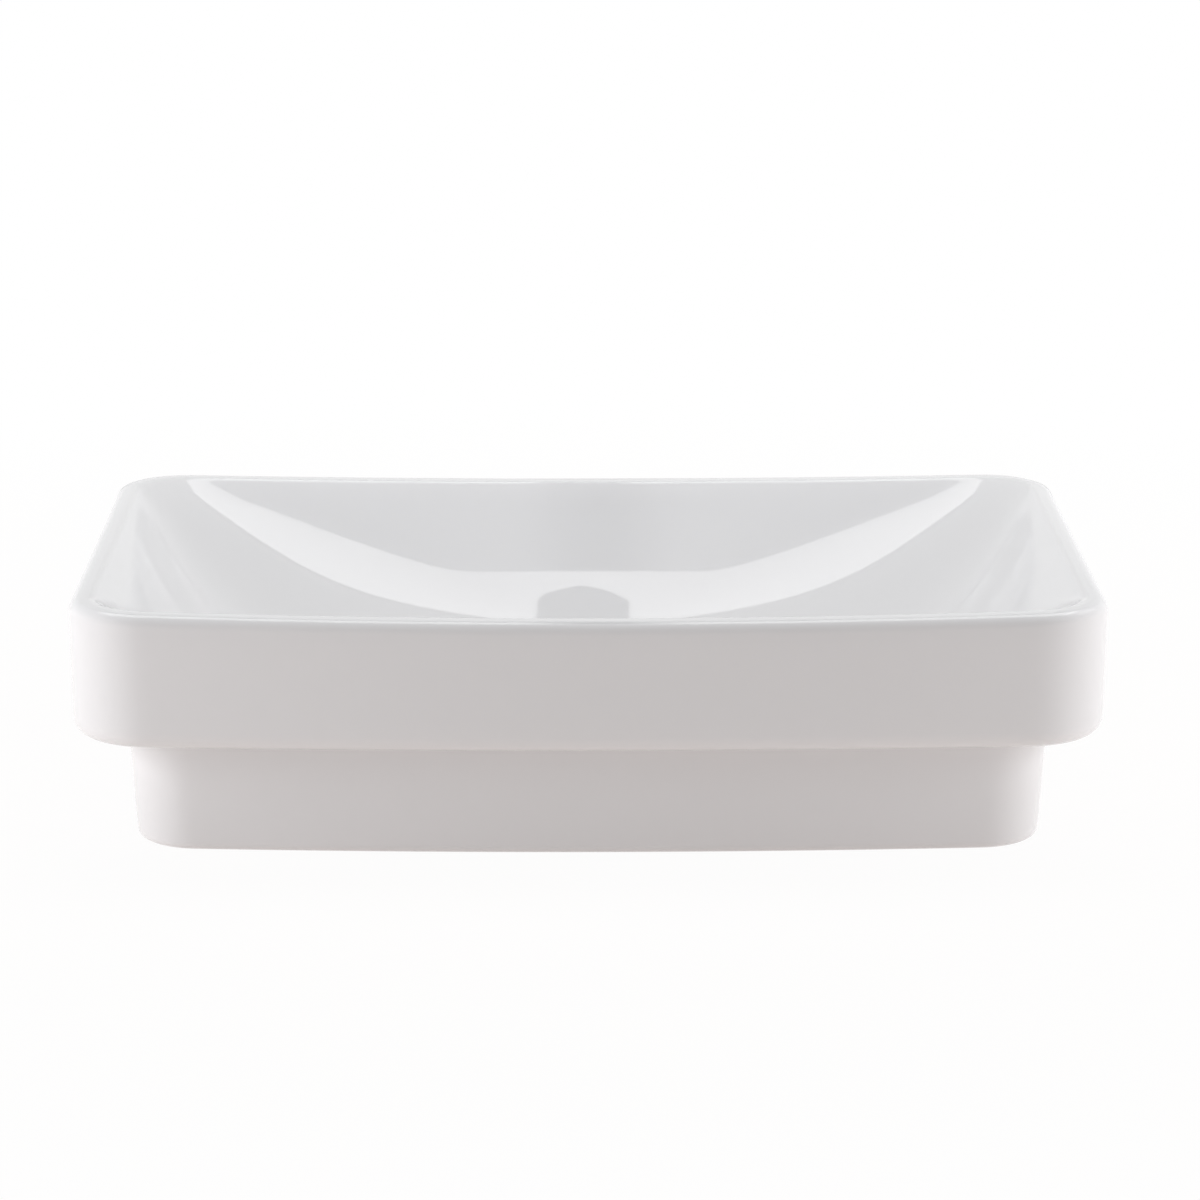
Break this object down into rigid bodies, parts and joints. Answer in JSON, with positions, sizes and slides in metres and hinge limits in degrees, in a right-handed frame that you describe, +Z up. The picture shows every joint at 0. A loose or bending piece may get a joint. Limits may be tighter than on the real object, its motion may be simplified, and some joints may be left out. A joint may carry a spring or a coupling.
{
  "type": "semi recessed basin",
  "caption": "Rectangular ceramic washbasin with a bowed front, a stepped lower block that drops into a worktop, an open bowl, and a push-button waste.",
  "frame": {"origin": "middle of the basin's bounding box, on the plane of its base", "axes": "+X along the basin's width, +Z up; the bowed front looks towards -Y and the drain's axis is +Z at the origin"},
  "size_m": [0.5998, 0.3998, 0.1498],
  "materials": {
    "glaze": "glossy white glaze",
    "chromed_brass": "polished",
    "brass": "machined",
    "rubber": "matt",
    "nylon": "matt",
    "acetal": "satin",
    "spring_steel": "bright"
  },
  "bodies": {
    "basin": {"basin_body": "glaze", "waste_body": "chromed_brass", "flange_seal": "rubber", "cone_seal": "rubber", "slip_washer": "nylon", "backnut": "brass", "cartridge_seal": "rubber", "cartridge_body": "acetal", "cartridge_end_cap": "acetal", "return_spring": "spring_steel"},
    "plug": {"plug_cap": "chromed_brass", "plug_seal": "rubber", "plug_stem": "brass", "plunger": "acetal"},
    "ratchet": {"ratchet_ring": "acetal"}
  },
  "joints": [
    {"name": "plug_travel", "type": "slide", "parent": "basin", "child": "plug", "axis": [0, 0, 1], "range_m": [-0.009, 0], "stiffness_N_per_m": 400, "springref_m": 0.01, "deforming": ["return_spring"]},
    {"name": "ratchet_turn", "type": "hinge", "parent": "plug", "child": "ratchet", "pos_m": [0, 0, 0.03], "axis": [0, 0, 1], "range_deg": [-45, 0]}
  ],
  "couplings": [
    {"joint": "ratchet_turn", "follows": "plug_travel", "rad_per_m": 87.26}
  ]
}
